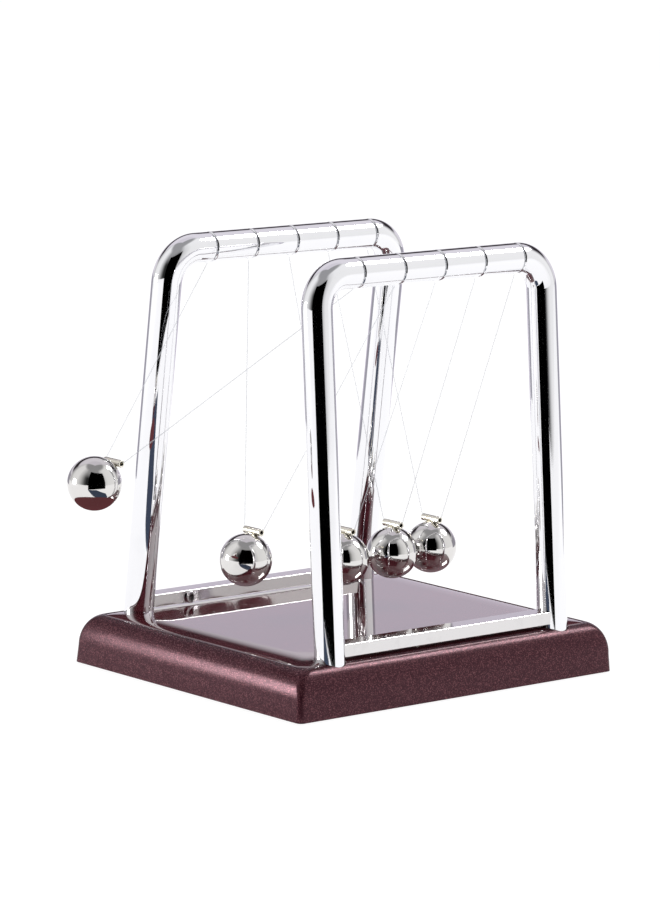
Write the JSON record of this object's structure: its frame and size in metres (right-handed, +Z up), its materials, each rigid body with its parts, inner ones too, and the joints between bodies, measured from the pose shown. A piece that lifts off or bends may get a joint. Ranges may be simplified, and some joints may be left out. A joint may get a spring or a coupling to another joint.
{
  "type": "newtons cradle",
  "caption": "Desk pendulum toy: a row of steel balls on V threads between leaning bent-tube frames on a mirror-topped base.",
  "frame": {"origin": "middle of the felt pad's underside, under the middle of the base", "axes": "+X along the two top bars, +Y from the front frame to the rear frame, +Z up"},
  "size_m": [0.172, 0.105, 0.1332],
  "materials": {
    "plum_paint": "metallic flake paint on a moulding, plum brown",
    "mirror_top": "polished mirror plate",
    "black_plastic": "moulded, fine grain",
    "black_felt": "felt",
    "raw_steel": "raw sheared plate",
    "zinc_steel": "zinc plated",
    "chrome_tube": "bright chrome plate",
    "chrome_rail": "bright chrome plate",
    "polished_ball": "polished steel",
    "hanger_metal": "bright metal tube",
    "clear_thread": "clear monofilament"
  },
  "bodies": {
    "root": {"base_shell": "plum_paint", "mirror_plate": "mirror_top", "bottom_plate": "black_plastic", "cover_screws": "zinc_steel", "felt_pad": "black_felt", "ballast_plate": "raw_steel", "ballast_screws": "zinc_steel", "leg_plugs": "zinc_steel", "leg_washers": "zinc_steel", "leg_screws": "zinc_steel", "front_frame": "chrome_tube", "rear_frame": "chrome_tube", "front_rail": "chrome_rail", "rear_rail": "chrome_rail", "front_rail_rivets": "chrome_rail", "rear_rail_rivets": "chrome_rail", "front_thread_loops": "clear_thread", "rear_thread_loops": "clear_thread"},
    "pendulum_1": {"ball_1": "polished_ball", "hanger_1": "hanger_metal", "thread_1": "clear_thread"},
    "pendulum_2": {"ball_2": "polished_ball", "hanger_2": "hanger_metal", "thread_2": "clear_thread"},
    "pendulum_3": {"ball_3": "polished_ball", "hanger_3": "hanger_metal", "thread_3": "clear_thread"},
    "pendulum_4": {"ball_4": "polished_ball", "hanger_4": "hanger_metal", "thread_4": "clear_thread"},
    "pendulum_5": {"ball_5": "polished_ball", "hanger_5": "hanger_metal", "thread_5": "clear_thread"}
  },
  "joints": [
    {"name": "ball_1_swing", "type": "hinge", "parent": "root", "child": "pendulum_1", "pos_m": [-0.0302, 0, 0.12395], "axis": [0, 1, 0], "range_deg": [-51, 9]},
    {"name": "ball_2_swing", "type": "hinge", "parent": "root", "child": "pendulum_2", "pos_m": [-0.0139, 0, 0.12395], "axis": [0, 1, 0], "range_deg": [-17.55, 3.2]},
    {"name": "ball_3_swing", "type": "hinge", "parent": "root", "child": "pendulum_3", "pos_m": [0.0024, 0, 0.12395], "axis": [0, 1, 0], "range_deg": [-2.55, 0.5]},
    {"name": "ball_4_swing", "type": "hinge", "parent": "root", "child": "pendulum_4", "pos_m": [0.0187, 0, 0.12395], "axis": [0, -1, 0], "range_deg": [0, 20.7]},
    {"name": "ball_5_swing", "type": "hinge", "parent": "root", "child": "pendulum_5", "pos_m": [0.035, 0, 0.12395], "axis": [0, -1, 0], "range_deg": [0, 60]}
  ],
  "couplings": [
    {"joint": "ball_2_swing", "follows": "ball_1_swing", "ratio": 0.34314},
    {"joint": "ball_3_swing", "follows": "ball_1_swing", "ratio": 0.04902},
    {"joint": "ball_4_swing", "follows": "ball_5_swing", "ratio": 0.343}
  ]
}
